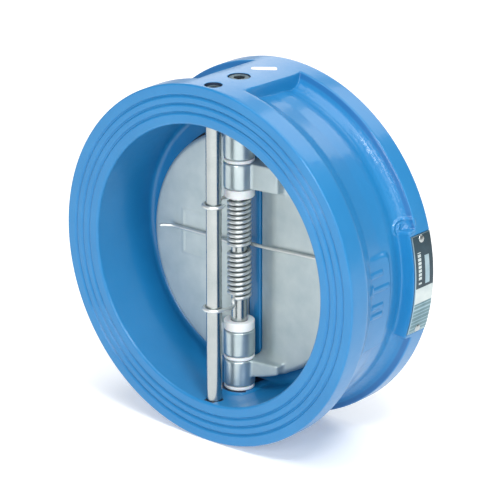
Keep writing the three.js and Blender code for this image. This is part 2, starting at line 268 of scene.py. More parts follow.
def surface_net(name, distance, low, high, step, sharp_deg=60):
    """A closed mesh of the surface where distance(x, y, z) is 0, as quads over a grid of cells."""
    axes = [np.arange(a - step, b + 2 * step, step) for a, b in zip(low, high)]
    grid = np.meshgrid(*axes, indexing="ij")
    value = distance(*grid)
    cells = tuple(n - 1 for n in value.shape)
    total = np.zeros((*cells, 3))
    count = np.zeros(cells)
    crossings = []
    for axis in range(3):
        size = value.shape[axis]
        first = np.take(value, range(size - 1), axis)
        second = np.take(value, range(1, size), axis)
        crossing = (first < 0) != (second < 0)
        share = np.where(crossing, first / np.where(crossing, first - second, 1.0), 0.0)
        ranges = [np.arange(n, dtype=float) for n in first.shape]
        index = np.stack(np.meshgrid(*ranges, indexing="ij"), -1)
        index[..., axis] += share
        others = [a for a in range(3) if a != axis]
        for da in (0, 1):
            for db in (0, 1):
                take = [slice(None)] * 3
                take[others[0]] = slice(da, first.shape[others[0]] - 1 + da)
                take[others[1]] = slice(db, first.shape[others[1]] - 1 + db)
                hit = crossing[tuple(take)]
                total += index[tuple(take)] * hit[..., None]
                count += hit
        crossings.append((axis, others, crossing, first < 0))
    used = count > 0
    number = np.full(cells, -1)
    number[used] = np.arange(used.sum())
    points = total[used] / count[used][:, None] * step + np.array([a[0] for a in axes])
    quads = []
    for axis, others, crossing, starts_inside in crossings:
        inner = [slice(None)] * 3
        for other in others:
            inner[other] = slice(1, crossing.shape[other] - 1)
        where = np.argwhere(crossing[tuple(inner)])
        where[:, others[0]] += 1
        where[:, others[1]] += 1
        inside = starts_inside[tuple(where.T)]
        corners = []
        for da, db in ((1, 1), (0, 1), (0, 0), (1, 0)):
            cell = where.copy()
            cell[:, others[0]] -= da
            cell[:, others[1]] -= db
            corners.append(number[tuple(cell.T)])
        quad = np.stack(corners, -1)
        turned = inside if axis != 1 else ~inside
        quads.append(np.where(turned[:, None], quad, quad[:, ::-1]))
    probe = 0.02
    for _ in range(4):
        here = distance(*points.T)
        slope = np.stack([
            distance(*(points + probe * unit).T) - distance(*(points - probe * unit).T)
            for unit in np.eye(3)
        ], -1) / (2 * probe)
        push = here[:, None] * slope / np.maximum((slope ** 2).sum(-1), 0.25)[:, None]
        points = points - np.clip(push, -0.3 * step, 0.3 * step)
    return mesh_object(name, points, np.concatenate(quads).tolist(), sharp_deg)


def sweep(name, path, radius, around=12):
    """A round wire along a path of points, with domed ends."""
    path = np.asarray(path, float)
    tangent = np.gradient(path, axis=0)
    tangent /= np.linalg.norm(tangent, axis=1)[:, None]
    side = np.cross(tangent[0], [0.0, 0.0, 1.0])
    side /= np.linalg.norm(side)
    turn = np.arange(around) * TAU / around
    rings = []
    dome = [(0.95, 0.3), (0.7, 0.72), (0.3, 0.95)]
    for rise, share in dome:
        rings.append((path[0] - tangent[0] * rise * radius, tangent[0], share))
    for point, direction in zip(path, tangent):
        rings.append((point, direction, 1.0))
    for rise, share in dome[::-1]:
        rings.append((path[-1] + tangent[-1] * rise * radius, tangent[-1], share))
    points = []
    for point, direction, share in rings:
        side = side - direction * np.dot(side, direction)
        side /= np.linalg.norm(side)
        up = np.cross(direction, side)
        ring = np.cos(turn)[:, None] * side + np.sin(turn)[:, None] * up
        points.append(point + ring * radius * share)
    return mesh_object(name, np.concatenate(points), tube_grid(len(rings), around))


def smooth_path(points, step=0.6):
    """A centripetal Catmull-Rom curve through the points, sampled every step or so."""
    points = np.asarray(points, float)
    ends = [2 * points[0] - points[1], 2 * points[-1] - points[-2]]
    p = np.vstack([ends[0], points, ends[1]])
    out = []
    for a, b, c, d in zip(p, p[1:], p[2:], p[3:]):
        t0, t1 = 0.0, np.linalg.norm(b - a) ** 0.5
        t2 = t1 + np.linalg.norm(c - b) ** 0.5
        t3 = t2 + np.linalg.norm(d - c) ** 0.5
        n = max(1, round(np.linalg.norm(c - b) / step))
        for t in t1 + (t2 - t1) * np.arange(n) / n:
            a1 = (t1 - t) / (t1 - t0) * a + (t - t0) / (t1 - t0) * b
            a2 = (t2 - t) / (t2 - t1) * b + (t - t1) / (t2 - t1) * c
            a3 = (t3 - t) / (t3 - t2) * c + (t - t2) / (t3 - t2) * d
            b1 = (t2 - t) / (t2 - t0) * a1 + (t - t0) / (t2 - t0) * a2
            b2 = (t3 - t) / (t3 - t1) * a2 + (t - t1) / (t3 - t1) * a3
            out.append((t2 - t) / (t2 - t1) * b1 + (t - t1) / (t2 - t1) * b2)
    out.append(points[-1])
    return out


# ------------------ materials


def new_material(name):
    material = bpy.data.materials.new(name)
    material.use_nodes = True
    nodes = material.node_tree.nodes
    return material, nodes, material.node_tree.links, nodes["Principled BSDF"]


def noise(nodes, links, vector, scale, detail=4.0, roughness=0.55, stretch=(1, 1, 1)):
    mapping = nodes.new("ShaderNodeMapping")
    mapping.inputs["Scale"].default_value = stretch
    links.new(vector, mapping.inputs["Vector"])
    texture = nodes.new("ShaderNodeTexNoise")
    texture.inputs["Scale"].default_value = scale
    texture.inputs["Detail"].default_value = detail
    texture.inputs["Roughness"].default_value = roughness
    links.new(mapping.outputs["Vector"], texture.inputs["Vector"])
    return texture.outputs["Fac"]


def ramp(nodes, links, value, stops):
    node = nodes.new("ShaderNodeValToRGB")
    elements = node.color_ramp.elements
    for place, _ in stops[2:]:
        elements.new(place)
    for element, (place, colour) in zip(sorted(elements, key=lambda e: e.position), stops):
        element.position = place
        element.color = (*colour, 1)
    links.new(value, node.inputs["Fac"])
    return node.outputs["Color"]


def map_range(nodes, links, value, low, high):
    node = nodes.new("ShaderNodeMapRange")
    node.inputs["To Min"].default_value = low
    node.inputs["To Max"].default_value = high
    links.new(value, node.inputs["Value"])
    return node.outputs["Result"]


def bump(nodes, links, shader, heights):
    """Bumps from [(height socket, distance in mm, strength)], one over the other."""
    normal = None
    for height, distance, strength in heights:
        node = nodes.new("ShaderNodeBump")
        node.inputs["Distance"].default_value = distance * MM
        node.inputs["Strength"].default_value = strength
        links.new(height, node.inputs["Height"])
        if normal is not None:
            links.new(normal, node.inputs["Normal"])
        normal = node.outputs["Normal"]
    links.new(normal, shader.inputs["Normal"])
    return normal


def object_coords(nodes):
    return nodes.new("ShaderNodeTexCoord").outputs["Object"]


def multiply(nodes, links, first, second):
    node = nodes.new("ShaderNodeMath")
    node.operation = "MULTIPLY"
    links.new(first, node.inputs[0])
    links.new(second, node.inputs[1])
    return node.outputs["Value"]


def multiply_colours(nodes, links, first, second):
    node = nodes.new("ShaderNodeMix")
    node.data_type = "RGBA"
    node.blend_type = "MULTIPLY"
    factor, colour_a, colour_b = (node.inputs[i] for i in (0, 6, 7))
    factor.default_value = 1.0
    links.new(first, colour_a)
    links.new(second, colour_b)
    return node.outputs[2]


def step_up(nodes, links, value, outside, inside):
    """0 where the value, in mm, is outside, 1 where it is inside, and smooth between."""
    node = nodes.new("ShaderNodeMapRange")
    node.interpolation_type = "SMOOTHSTEP"
    node.inputs["From Min"].default_value = outside * MM
    node.inputs["From Max"].default_value = inside * MM
    links.new(value, node.inputs["Value"])
    return node.outputs["Result"]


def cast_band(nodes, links, place, front, back):
    """1 between two places along Y, below the back rim's radius, and 0 elsewhere."""
    split = nodes.new("ShaderNodeSeparateXYZ")
    links.new(place, split.inputs["Vector"])
    flat = nodes.new("ShaderNodeVectorMath")
    flat.operation = "MULTIPLY"
    flat.inputs[1].default_value = (1, 0, 1)
    links.new(place, flat.inputs[0])
    radius = nodes.new("ShaderNodeVectorMath")
    radius.operation = "LENGTH"
    links.new(flat.outputs["Vector"], radius.inputs[0])
    behind_front = step_up(nodes, links, split.outputs["Y"], *front)
    before_back = step_up(nodes, links, split.outputs["Y"], *back)
    below = step_up(nodes, links, radius.outputs["Value"], BACK_RIM_R - 0.1, BACK_RIM_R - 0.7)
    return multiply(nodes, links, multiply(nodes, links, behind_front, before_back), below)


def epoxy_material():
    """Blue paint, with painted shade darkening the back rim's front wall, and sandy on the fillet
    before it.
    """
    material, nodes, links, shader = new_material("blue_epoxy")
    place = object_coords(nodes)
    broad = noise(nodes, links, place, 22, 3)
    colour = ramp(nodes, links, broad, [
        (0.3, (0.010, 0.178, 0.420)),
        (0.55, (0.013, 0.192, 0.445)),
        (0.75, (0.020, 0.208, 0.465)),
    ])
    corner = BACK_RIM_FRONT_Y
    # Painted shade: the narrow wall in front of the back rim is darkened in the base colour,
    # standing in for the shade in that corner.
    wall = cast_band(nodes, links, place, (corner - 0.9, corner - 0.4), (corner + 0.9, corner + 0.5))
    wall_painted_shade = ramp(nodes, links, wall, [(0.0, (1, 1, 1)), (1.0, (0.8, 0.7, 0.8))])
    links.new(multiply_colours(nodes, links, colour, wall_painted_shade), shader.inputs["Base Color"])
    fine = noise(nodes, links, place, 420, 3)
    peel = noise(nodes, links, place, 130, 2)
    links.new(map_range(nodes, links, fine, 0.30, 0.44), shader.inputs["Roughness"])
    shader.inputs["Specular IOR Level"].default_value = 0.3
    shader.inputs["Coat Weight"].default_value = 0.45
    shader.inputs["Coat Roughness"].default_value = 0.13
    fillet = cast_band(nodes, links, place, (18.0, 20.5), (corner, corner - 1.0))
    sand = multiply(nodes, links, noise(nodes, links, place, 300, 5), fillet)
    normal = bump(nodes, links, shader, [(peel, 0.35, 0.35), (fine, 0.08, 0.3), (sand, 0.34, 1.0)])
    links.new(normal, shader.inputs["Coat Normal"])
    return material


def metal_material(name, dark, light, rough, grain_scale, grain_mm, stretch=(1, 1, 1), metallic=1.0):
    """Metal between two colours and two roughnesses, with a grain as bump."""
    material, nodes, links, shader = new_material(name)
    place = object_coords(nodes)
    broad = noise(nodes, links, place, 60, 4)
    grain = noise(nodes, links, place, grain_scale, 3, 0.6, stretch)
    links.new(ramp(nodes, links, broad, [(0.3, dark), (0.7, light)]), shader.inputs["Base Color"])
    links.new(map_range(nodes, links, grain, rough[0], rough[1]), shader.inputs["Roughness"])
    shader.inputs["Metallic"].default_value = metallic
    bump(nodes, links, shader, [(grain, grain_mm, 0.5)])
    return material


def plastic_material(name, dark, light, rough, bump_mm, subsurface=0.0):
    """Plastic, rubber, paper, print or dull iron between two colours and two roughnesses."""
    material, nodes, links, shader = new_material(name)
    place = object_coords(nodes)
    broad = noise(nodes, links, place, 90, 3)
    fine = noise(nodes, links, place, 700, 3)
    links.new(ramp(nodes, links, broad, [(0.3, dark), (0.7, light)]), shader.inputs["Base Color"])
    links.new(map_range(nodes, links, fine, rough[0], rough[1]), shader.inputs["Roughness"])
    shader.inputs["Subsurface Weight"].default_value = subsurface
    shader.inputs["Subsurface Scale"].default_value = 0.001
    bump(nodes, links, shader, [(fine, bump_mm, 0.4)])
    return material


EPOXY = epoxy_material()
PLATE_STEEL = metal_material(
    "cast_stainless", (0.405, 0.49, 0.51), (0.515, 0.59, 0.595), (0.40, 0.54), 900, 0.05,
    metallic=0.5)
LUG_STEEL = metal_material(
    "machined_lug", (0.42, 0.51, 0.53), (0.56, 0.64, 0.65), (0.26, 0.38), 300, 0.03,
    stretch=(1, 1, 0.05), metallic=0.8)
PIN_STEEL = metal_material(
    "turned_stainless", (0.38, 0.42, 0.42), (0.46, 0.49, 0.485), (0.18, 0.30), 60, 0.02,
    stretch=(1, 1, 40))
SPRING_STEEL = metal_material(
    "spring_wire", (0.60, 0.64, 0.63), (0.72, 0.75, 0.73), (0.26, 0.38), 500, 0.02,
    metallic=0.75)
PLUG_STEEL = metal_material(
    "plug_steel", (0.10, 0.15, 0.18), (0.20, 0.27, 0.30), (0.42, 0.6), 700, 0.05)
# Partly painted shade: the unpainted iron of the drilled holes is made near-black navy, darker than
# bare iron, to stand in for the shade inside the holes.
BARE_IRON_AND_SHADE = plastic_material(
    "bare_iron_and_shade", (0.010, 0.022, 0.055), (0.02, 0.035, 0.075), (0.5, 0.7), 0.05)
# Painted shade: the inside of each hexagon socket is near-black, standing in for the shade in the
# recess.
SOCKET_SHADE = plastic_material(
    "socket_shade_painted", (0.008, 0.014, 0.022), (0.02, 0.03, 0.04), (0.6, 0.8), 0.03)
STRIP_METAL = metal_material(
    "strip_aluminium", (0.24, 0.37, 0.43), (0.44, 0.57, 0.62), (0.30, 0.46), 120, 0.02,
    stretch=(1, 30, 1))
STRIP_BLACK = plastic_material(
    "strip_black", (0.004, 0.026, 0.040), (0.014, 0.052, 0.075), (0.35, 0.5), 0.01)
STRIP_PALE = plastic_material(
    "strip_pale", (0.42, 0.51, 0.52), (0.60, 0.67, 0.66), (0.35, 0.5), 0.01)
STRIP_GREY = metal_material(
    "strip_grey", (0.12, 0.21, 0.24), (0.24, 0.36, 0.38), (0.35, 0.5), 200, 0.02,
    stretch=(1, 20, 1))
PTFE = plastic_material(
    "white_ptfe", (0.80, 0.83, 0.83), (0.90, 0.92, 0.91), (0.35, 0.5), 0.03, subsurface=0.15)
RUBBER = plastic_material(
    "seat_rubber", (0.012, 0.012, 0.014), (0.03, 0.03, 0.033), (0.6, 0.8), 0.05)
PAPER = plastic_material(
    "label_paper", (0.86, 0.86, 0.85), (0.93, 0.93, 0.92), (0.45, 0.6), 0.01)


def place_piece(obj, body, slot, nodes, *materials):
    obj.data.materials.clear()
    for material in materials:
        obj.data.materials.append(material)
    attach(obj, body)
    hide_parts(*nodes)


# ------------------ body casting


def nominal_radius(y):
    """The ring's outer radius at y, before anything stands on it."""
    at = np.linspace(-FACE_Y - 6, FACE_Y + 6, 1600)
    corners = [(-60, RIM_R), (RIM_BACK_Y, RIM_R)]
    corners += [(place, WAIST_R + rise) for place, rise in WAIST_RISES]
    corners += [(BACK_RIM_FRONT_Y, BACK_RIM_R), (60, BACK_RIM_R)]
    line = np.interp(at, *zip(*corners))
    width = OUTLINE_BLUR / (at[1] - at[0])
    reach = np.arange(-int(4 * width), int(4 * width) + 1)
    kernel = np.exp(-0.5 * (reach / width) ** 2)
    kernel /= kernel.sum()
    return np.interp(y, at, np.convolve(line, kernel, mode="same"))


def arrow_distance(along, across):
    """Signed distance, in mm, to a plain flow arrow that points to negative along."""
    shaft = np.maximum(np.abs(across) - 1.3, np.abs(along - 3.0) - 7.0)
    head = np.maximum(-(along + 11.0), along + 4.0)
    head = np.maximum(head, (np.abs(across) * 1.9 - (along + 11.0)) / 2.1)
    return np.minimum(shaft, head)


def bar_distance(along, across, centre, half_length, half_width):
    dx = np.abs(along - centre[0]) - half_length
    dy = np.abs(across - centre[1]) - half_width
    return np.maximum(dx, dy)


def add_pin_pads(radius, turn, y):
    """Fills the waist up to the rims at 12 and 6 o'clock, where the pins' holes are."""
    share = smoothstep(0, 1, (y - RIM_BACK_Y) / (BACK_RIM_FRONT_Y - RIM_BACK_Y))
    rim_line = RIM_R + (BACK_RIM_R - RIM_R) * share
    aside = np.abs(RIM_R * np.cos(turn)) * (radius + 6) / RIM_R
    cover = smoothstep(PIN_PAD_HALF + 1.1, PIN_PAD_HALF - 0.9, aside)
    return radius + np.maximum(rim_line - radius, 0) * cover


def add_strip_pad(radius, arc_mm, y):
    low, high = (STRIP_PAD[end] * DEG * BACK_RIM_R for end in ("from", "to"))
    sides = smooth_max(low - arc_mm, arc_mm - high, 1.0)
    cover = smoothstep(1.0, -0.9, smooth_max(sides, STRIP_PAD["front"] - y, 1.5))
    return radius + np.maximum(BACK_RIM_R - radius, 0) * cover


def add_panel(radius, arc_mm, y):
    """The raised panel on the waist, under the cast marks."""
    waist_mm = arc_mm * WAIST_R / BACK_RIM_R
    low, high = (PANEL[end] * DEG * WAIST_R for end in ("from", "to"))
    sides = smooth_max(low - waist_mm, waist_mm - high, 6.0)
    ends = smooth_max(PANEL["front"] - y, y - PANEL["back"], 3.0)
    cover = smoothstep(1.6, -1.2, smooth_max(sides, ends, 5.0))
    return radius + np.maximum(WAIST_R + PANEL["rise"] - radius, 0.0) * cover


def add_marks(radius, arc_mm, y):
    """A plain flow arrow and bars, cast on the panel."""
    marks = arrow_distance(y - MARKS["y"], arc_mm - MARKS["arrow"])
    for height in MARKS["bars"]:
        bar = bar_distance(y, arc_mm, (MARKS["y"], height), *MARKS["half"])
        marks = np.minimum(marks, bar)
    return radius + MARKS["rise"] * smoothstep(0.6, -0.5, marks)


def add_curl(radius, arc_mm, y):
    """One turn of a spiral ridge that fades at its centre and at its reach."""
    along = (y - CURL["y"]) / CURL["stretch"]
    across = arc_mm - CURL["deg"] * DEG * BACK_RIM_R
    bearing = np.arctan2(across, along)
    distance = np.hypot(along, across) + 0.6 * np.cos(2 * bearing + 0.6)
    ridge = 0.5 + 0.5 * np.cos(distance * 2.0 - bearing)
    lump = 0.2 + 1.3 * ridge * smoothstep(0.3, 2.2, distance)
    room = np.maximum(BACK_RIM_R + 0.6 - radius, 0)
    return radius + np.minimum(lump, room) * smoothstep(CURL["reach"], CURL["reach"] - 2.0, distance)


def cut_strip_recess(radius, deg, y):
    sides = np.maximum(STRIP["from"] - 0.15 - deg, deg - STRIP["to"] - 0.15) * DEG * BACK_RIM_R
    outside = np.maximum(sides, STRIP["front"] - 0.25 - y)
    return radius - (BACK_RIM_R - STRIP["floor"]) * smoothstep(0.12, -0.12, outside)


def outer_radius(turn, y):
    """The casting's outer radius, with all that stands on the ring or is cut into it."""
    deg = np.degrees((turn + math.pi) % TAU - math.pi)
    arc_mm = deg * DEG * BACK_RIM_R
    radius = add_pin_pads(nominal_radius(y), turn, y)
    for feature in (add_strip_pad, add_panel, add_marks, add_curl):
        radius = feature(radius, arc_mm, y)
    return cut_strip_recess(radius, deg, y)


def groove_depth(r):
    nearest = min(abs(r - centre) for centre in GROOVE_RADII)
    return GROOVE_DEPTH * 0.5 * (1 + math.cos(math.pi * min(nearest / GROOVE_HALF, 1)))


def arc_points(cx, cy, radius, start, end, steps):
    turns = np.radians(np.linspace(start, end, steps))
    return [[cx + radius * math.cos(t), cy + radius * math.sin(t)] for t in turns]


def face_radii(low, high, step):
    return np.arange(low + step, high, step)


def grooved_face(radii, face_y, inward):
    return [[r, face_y + inward * groove_depth(r)] for r in radii]


def casting_section():
    """The ring's closed section: [radius, y, how far it follows outer_radius]."""
    section = []

    def add(points, share=0):
        section.extend([r, y, share] for r, y in points)

    add(grooved_face(face_radii(BORE_R + LIP_R, RIM_R - EDGE_R, 0.28), -FACE_Y, 1))
    add(arc_points(RIM_R - EDGE_R, -FACE_Y + EDGE_R, EDGE_R, -90, 0, 6), share=1)
    outer = np.concatenate([np.arange(*run) for run in (
        (-FACE_Y + 3, RIM_BACK_Y - 2, 2.5),
        (RIM_BACK_Y - 2, -10, 0.7),
        (-10, 12, 0.6),
        (12, 16, 0.5),
        (16, 28, 0.3),
        (28, FACE_Y - EDGE_R - 0.8, 1.2),
    )])
    add(zip(nominal_radius(outer), outer), share=1)
    add(arc_points(BACK_RIM_R - EDGE_R, FACE_Y - EDGE_R, EDGE_R, 0, 90, 6), share=1)
    add(grooved_face(face_radii(INLET_R + EDGE_R, BACK_RIM_R - EDGE_R, 0.35)[::-1], FACE_Y, -1))
    add(arc_points(INLET_R + EDGE_R, FACE_Y - EDGE_R, EDGE_R, 90, 180, 5))
    throat_front, throat_back = THROAT_Y
    flare = (INLET_R - SEAT_R) / (FACE_Y - throat_back)
    add([SEAT_R + flare * (y - throat_back), y] for y in (34, 30, 26, 22))
    add([[SEAT_R, throat_back], [SEAT_R, throat_front]])
    add(arc_points(SEAT_R + SEAT_EDGE_R, SEAT_Y + SEAT_EDGE_R, SEAT_EDGE_R, 180, 270, 5))
    add([r, SEAT_Y] for r in (72, 75, 78, 80))
    add(arc_points(BORE_R - BORE_FILLET_R, SEAT_Y - BORE_FILLET_R, BORE_FILLET_R, 90, 0, 8))
    add([BORE_R, y] for y in np.arange(4, -FACE_Y + LIP_R, -4.0))
    add(arc_points(BORE_R + LIP_R, -FACE_Y + LIP_R, LIP_R, 180, 270, 7))
    return np.array(section)


def casting_turns():
    """Angles round the casting, closer together where its pads and marks begin and end."""
    def window(centre, half, step):
        return np.arange(centre - half, centre + half, step)

    pad_edge = math.degrees(math.asin(PIN_PAD_HALF / (WAIST_R + 6)))
    degs = [np.arange(0, 360, 1.25), window(-0.5, 24, 0.25)]
    for middle in (90, 270):
        for side in (-1, 1):
            degs.append(window(middle + side * pad_edge, 2.0, 0.16))
    every = np.sort(np.unique(np.round(np.concatenate(degs) % 360, 3)))
    keep = np.concatenate([[True], np.diff(every) > 0.1])
    return np.radians(every[keep])


def casting_ring():
    section = casting_section()
    turns = casting_turns()
    turn, r = np.meshgrid(turns, section[:, 0], indexing="ij")
    y = np.broadcast_to(section[:, 1], r.shape)
    share = np.broadcast_to(section[:, 2], r.shape)
    radius = r + share * (outer_radius(turn, y) - nominal_radius(y))
    points = np.stack([radius * np.cos(turn), y, radius * np.sin(turn)], -1).reshape(-1, 3)
    return mesh_object("cast_body", points, torus_grid(*radius.shape), 40)


def fillet_swell(distance, radius):
    """How far a fillet of this radius stands out at this distance from the wall it runs into."""
    d = np.clip(radius - distance, 0.0, radius)
    return radius - np.sqrt(np.maximum(radius ** 2 - d ** 2, 0.0))


def centre_post():
    """The post across the inlet, whose ends flare into the port wall."""
    step, end, over = 0.6, 12, 3
    heights = np.concatenate([
        np.arange(-SEAT_R - over, -SEAT_R + end, step),
        np.linspace(-SEAT_R + end, SEAT_R - end, 24),
        np.arange(SEAT_R - end + step, SEAT_R + over + step / 2, step),
    ])
    crest_r, root_r, corner_r, tail_r = 1.2, 0.8, 0.6, 5.2
    tail_y = FACE_Y - 8 - tail_r
    half = arc_points(RIDGE_HALF - crest_r, RIDGE_Y + crest_r, crest_r, -90, 0, 5)
    half += arc_points(RIDGE_HALF + root_r, SEAT_Y - root_r, root_r, 180, 90, 4)
    half += arc_points(POST_HALF - corner_r, SEAT_Y + corner_r, corner_r, -90, 0, 4)
    half += [[POST_HALF, 14], [POST_HALF, 18], [POST_HALF - 0.6, 22]]
    half += arc_points(2.6, tail_y, tail_r, 15, 90, 8)
    outline = np.array(half + [[-x, y] for x, y in half[::-1]])
    rings = []
    for z in heights:
        swell = fillet_swell(np.sqrt(SEAT_R ** 2 - POST_HALF ** 2) - abs(z), 7.0)
        aside = swell * smoothstep(SEAT_Y - 1, SEAT_Y + 4, outline[:, 1])
        x = outline[:, 0] + np.sign(outline[:, 0]) * aside
        y = outline[:, 1] + 0.8 * swell * smoothstep(22, 30, outline[:, 1])
        rings.append(np.stack([x, y, np.full(len(x), z)], -1))
    return mesh_object("post", np.concatenate(rings), tube_grid(len(rings), len(outline)), 40)


def inner_boss(face_z, side):
    """The boss that gives the hinge stack its end face, blended into the bore wall."""
    edge_r, fillet_r = 0.8, 3.0
    root_y = SEAT_Y + 1
    front = arc_points(0.0, HINGE_Y, BOSS_R, 180, 360, 25)
    back = [[BOSS_R, 0.0], [BOSS_R, root_y], [0.0, root_y], [-BOSS_R, root_y], [-BOSS_R, 0.0]]
    outline = np.array(front + back)
    out = outline - (0.0, HINGE_Y)
    out /= np.linalg.norm(out, axis=1)[:, None]
    wall = np.sqrt(BORE_R ** 2 - outline[:, 0] ** 2)
    rings = []
    for rise in np.concatenate([[0.0, 0.15, 0.4, 0.8], np.arange(1.4, 11, 0.6)]):
        z = abs(face_z) + rise
        edge = edge_r - math.sqrt(max(edge_r ** 2 - max(edge_r - rise, 0) ** 2, 0))
        swell = fillet_swell(wall - z, fillet_r) - edge
        rings.append(np.column_stack([outline + out * swell[:, None], np.full(len(out), side * z)]))
    return mesh_object("boss", np.concatenate(rings), tube_grid(len(rings), len(outline)), 40)


def pin_hole(y, pin_r, plug_r, chamfer, side):
    """What is drilled out for one end of a pin and its screw plug."""
    far = RIM_R + 3
    mouth = RIM_R - chamfer
    seat = PIN_END + 0.5
    hole_r, socket_r = pin_r + 0.35, plug_r + GAP
    profile = [[hole_r, SEAT_R + 6], [hole_r, seat], [socket_r, seat], [socket_r, mouth],
               [socket_r + far - mouth, far]]
    profile = [[r, side * z] for r, z in profile]
    return lathe("drill", profile[::side], (0, y, 0), around=72)


def build_body():
    body = casting_ring()
    for extra in (centre_post(), inner_boss(STACK_END, 1), inner_boss(STACK_FOOT, -1)):
        boolean(body, extra, "UNION")
    for side in (1, -1):
        for hole in DRILLED:
            boolean(body, pin_hole(*hole, side), "DIFFERENCE")
    shade(body, 40)
    place_piece(body, "housing", "epoxy_coated_iron", ["body"], EPOXY, BARE_IRON_AND_SHADE)
    # The drilled holes' walls take the dark material, which is partly bare iron and partly painted
    # shade.
    walls = [(y, plug_r + GAP + 0.01) for y, _, plug_r, _ in DRILLED]
    for face in body.data.polygons:
        x, y, z = face.center / MM
        drilled = any(math.hypot(x, y - hole_y) < reach for hole_y, reach in walls)
        face.material_index = int(drilled and STACK_END + 4 < abs(z) < RIM_R)


build_body()

# ------------------ plates

# From and to along Z: the inner lug and the outer lug
LUGS = ((44.3, 60.0), (-78.6, -62.6))
BARREL_R = 9.6
ARM_ROOT = (9.45, -8.6)
ARM_END = (27.3, -5.8)
PLATE_EDGE_X = 5.0
PLATE_BEVEL_X = 19.0
PLATE_NOSE_T = 1.0
RIM_BEVEL = 1.8
FRAME_MARK = {"x": 40, "z": -2.3, "half_x": 11.5, "half_z": 14.0, "width": 1.6, "rise": 0.24}


def half_plane(px, py, through, toward):
    """Signed distance from a line in X and Y; positive on the side that toward points to."""
    length = math.hypot(*toward)
    return ((px - through[0]) * toward[0] + (py - through[1]) * toward[1]) / length


def frame_mark(x, z):
    """How far the plain square frame on one plate stands out."""
    edge = np.maximum(np.abs(x - FRAME_MARK["x"]) - FRAME_MARK["half_x"],
                      np.abs(z - FRAME_MARK["z"]) - FRAME_MARK["half_z"])
    line = np.maximum(edge, -(edge + FRAME_MARK["width"]))
    return FRAME_MARK["rise"] * smoothstep(0.5, -0.5, line)


def disc_distance(x, y, z, marked):
    """The half disc, with its bevelled rim and its bevel toward the hinge."""
    rho = np.hypot(x, z)
    front = -y - frame_mark(x, z) if marked else -y
    made = smooth_max(smooth_max(rho - PLATE_R, y - PLATE_T, 0.8), front, 0.5)
    made = smooth_max(made, (rho - PLATE_R + RIM_BEVEL - y) / math.sqrt(2), 0.8)
    toward = (PLATE_NOSE_T - PLATE_T, PLATE_EDGE_X - PLATE_BEVEL_X)
    made = smooth_max(made, half_plane(x, y, (PLATE_BEVEL_X, 0), toward), 1.5)
    return smooth_max(made, PLATE_EDGE_X - x, 0.5)


def arm_distance(x, y, rho, hinge):
    """An arm with its lug's barrel, before it is cut to the lug's height."""
    toward = (ARM_END[1] - ARM_ROOT[1], ARM_ROOT[0] - ARM_END[0])
    arm = smooth_max(half_plane(x, y, ARM_ROOT, toward), x - ARM_END[0], 1.6)
    arm = smooth_max(arm, rho - PLATE_R + 0.6, 1.2)
    arm = np.maximum(arm, half_plane(x, y, (0, 0.6), (-0.85, 1)))
    arm = np.maximum(np.maximum(arm, y - PLATE_T + 1.0), -x)
    return smooth_min(arm, hinge - BARREL_R + 0.3, 1.8)


def plate_distance(marked):
    """A function of x, y and z that gives the signed distance to the plate's surface."""
    def distance(x, y, z):
        hinge = np.hypot(x, y - HINGE_Y)
        arm = arm_distance(x, y, np.hypot(x, z), hinge)
        made = disc_distance(x, y, z, marked)
        outside_lugs = np.full(x.shape, 1e3)
        for low, high in LUGS:
            span = np.maximum(low - z, z - high)
            made = smooth_min(made, smooth_max(arm, span, 1.0), 3.2)
            outside_lugs = np.minimum(outside_lugs, span)
        made = np.maximum(made, np.minimum(BARREL_R - hinge, outside_lugs))
        made = np.maximum(made, np.minimum(PLATE_EDGE_X - x, hinge - BARREL_R + 0.1))
        return smooth_max(made, HINGE_R + 0.25 - hinge, 0.4)

    return distance


def build_plate(side, marked):
    low = (-BARREL_R, HINGE_Y - BARREL_R, -PLATE_R - 5)
    high = (PLATE_R, PLATE_T, PLATE_R)
    plate = surface_net("check_plate_" + side, plate_distance(marked), low, high, 0.75, 50)
    way = -1 if side == "left" else 1
    move_points(plate, lambda points: points * (way, 1, way) + (0, 0, TRIM_Z))
    place_piece(plate, side + "_plate", "cast_stainless", ["plate_" + side], PLATE_STEEL, LUG_STEEL)
    for face in plate.data.polygons:
        x, y, _ = face.center / MM
        face.material_index = int(math.hypot(x, y - HINGE_Y) < BARREL_R + 0.1 and y - HINGE_Y < 2)


build_plate("right", False)
build_plate("left", True)

# ------------------ pins, bearings and retainers


def build_pin(name, node):
    y, radius = upright_mm(node)
    end = box_mm(node)[1][2]
    chamfer = 0.9
    profile = [[radius - chamfer, -end], [radius, -end + chamfer]]
    profile += [[radius, z] for z in np.linspace(-end + 4, end - 4, 40)]
    profile += [[radius, end - chamfer], [radius - chamfer, end]]
    place_piece(lathe(name, profile, (0, y, 0)), "housing", "turned_stainless", [node], PIN_STEEL)


def build_washer(node):
    low, high = box_mm(node)
    section = rounded_box_section(HINGE_R + 0.25, high[0], low[2], high[2], 0.45)
    washer = ring_lathe(node + "_washer", section, (0, HINGE_Y, 0), 72)
    place_piece(washer, "housing", "white_ptfe", [node], PTFE)


